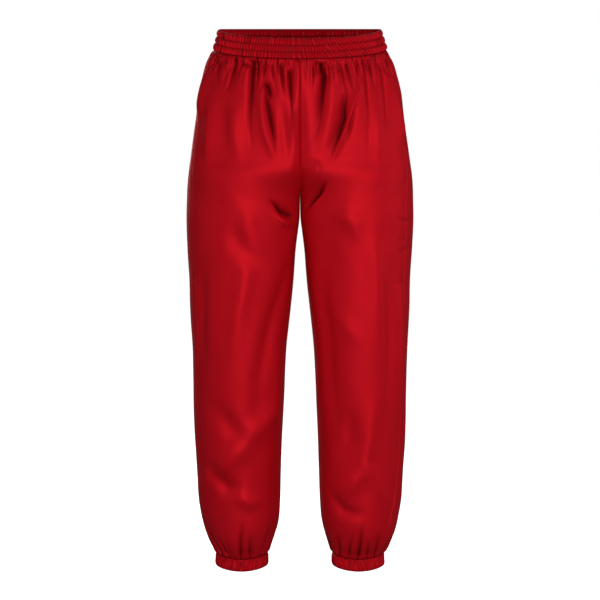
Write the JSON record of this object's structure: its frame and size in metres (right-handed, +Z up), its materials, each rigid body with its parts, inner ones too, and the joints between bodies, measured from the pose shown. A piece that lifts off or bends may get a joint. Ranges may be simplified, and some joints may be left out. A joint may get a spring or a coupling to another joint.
{
  "type": "jogger pants",
  "caption": "Red satin jogger pants, filled out and hollow, with a ruched elastic waistband, gathered full legs and elastic ankle cuffs.",
  "frame": {"origin": "middle of the waist opening, half way up the waistband at its sides, where a wearer holds the garment up", "axes": "+Z up, out of the waist; -Y towards the garment's front; +X towards the wearer's left"},
  "size_m": [0.4341, 0.2691, 1.038],
  "materials": {
    "satin": "soft satin weave, smooth, with broad highlights",
    "band_cloth": "the same satin, ruched over elastic in fine ribs"
  },
  "bodies": {
    "root": {"waistband": "band_cloth", "front_panel_left": "satin", "front_panel_right": "satin", "back_panel_left": "satin", "back_panel_right": "satin", "cuff_left": "band_cloth", "cuff_right": "band_cloth"}
  },
  "joints": []
}
